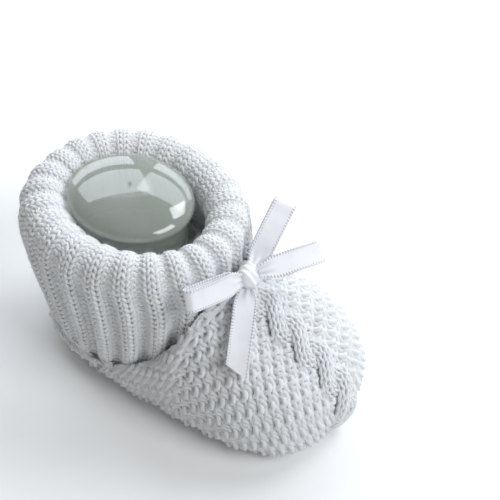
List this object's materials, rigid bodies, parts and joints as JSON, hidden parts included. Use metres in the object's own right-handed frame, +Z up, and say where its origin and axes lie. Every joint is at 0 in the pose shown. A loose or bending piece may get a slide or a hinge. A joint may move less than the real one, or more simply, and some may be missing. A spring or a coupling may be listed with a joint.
{
  "type": "knitted baby bootie",
  "caption": "White knitted baby bootie: tall rib cuff with a rolled rim, moss-stitch foot with an instep cable, a satin bow, and a clear domed shaping form inside.",
  "frame": {"origin": "on the ground, in the middle of the part's bounding box", "axes": "+Z is up and the toe points to -Y, so +X is the wearer's left"},
  "size_m": [0.0566, 0.098, 0.0526],
  "materials": {
    "rib_knit": "soft white acrylic rib knit, slightly fuzzy",
    "moss_knit": "soft white acrylic moss stitch, slightly fuzzy",
    "cable_knit": "soft white acrylic cable, slightly fuzzy",
    "seam_yarn": "soft white acrylic yarn",
    "satin_ribbon": "white satin with picot edges",
    "sewing_thread": "white polyester sewing thread",
    "clear_plastic": "clear glossy thermoformed plastic"
  },
  "bodies": {
    "bootie": {"rib_outer": "rib_knit", "rib_rim_fold": "rib_knit", "rib_inner_facing": "rib_knit", "facing_hem_stitch": "seam_yarn", "back_seam": "seam_yarn", "join_seam": "seam_yarn", "foot_left": "moss_knit", "foot_right": "moss_knit", "cable_panel": "cable_knit", "sole_left": "moss_knit", "sole_right": "moss_knit", "sole_seam": "seam_yarn", "bow_knot": "satin_ribbon", "bow_tack_stitch": "sewing_thread"},
    "shaping_form": {"shaping_form": "clear_plastic"},
    "bow_loop_right": {"bow_loop_right": "satin_ribbon"},
    "bow_loop_left": {"bow_loop_left": "satin_ribbon"},
    "bow_tail_left": {"bow_tail_left": "satin_ribbon"},
    "bow_tail_right": {"bow_tail_right": "satin_ribbon"}
  },
  "joints": [
    {"name": "form_lift_out", "type": "slide", "parent": "bootie", "child": "shaping_form", "axis": [0, 0, 1], "range_m": [0, 0.055]},
    {"name": "bow_loop_right_flap", "type": "hinge", "parent": "bootie", "child": "bow_loop_right", "pos_m": [-0.00286, -0.01728, 0.04183], "axis": [0.356, 0.7361, 0.5757], "range_deg": [0, 25], "stiffness_Nm_per_rad": 0.0002},
    {"name": "bow_loop_left_flap", "type": "hinge", "parent": "bootie", "child": "bow_loop_left", "pos_m": [0.00273, -0.0176, 0.04231], "axis": [-0.1513, -0.8238, 0.5464], "range_deg": [0, 12], "stiffness_Nm_per_rad": 0.0002},
    {"name": "bow_tail_left_flap", "type": "hinge", "parent": "bootie", "child": "bow_tail_left", "pos_m": [0.00206, -0.02056, 0.04269], "axis": [-0.4166, -0.7039, -0.5753], "range_deg": [0, 28], "stiffness_Nm_per_rad": 0.0002},
    {"name": "bow_tail_right_flap", "type": "hinge", "parent": "bootie", "child": "bow_tail_right", "pos_m": [-0.00197, -0.01879, 0.03865], "axis": [-0.4328, -0.0819, 0.8977], "range_deg": [0, 28], "stiffness_Nm_per_rad": 0.0002}
  ]
}
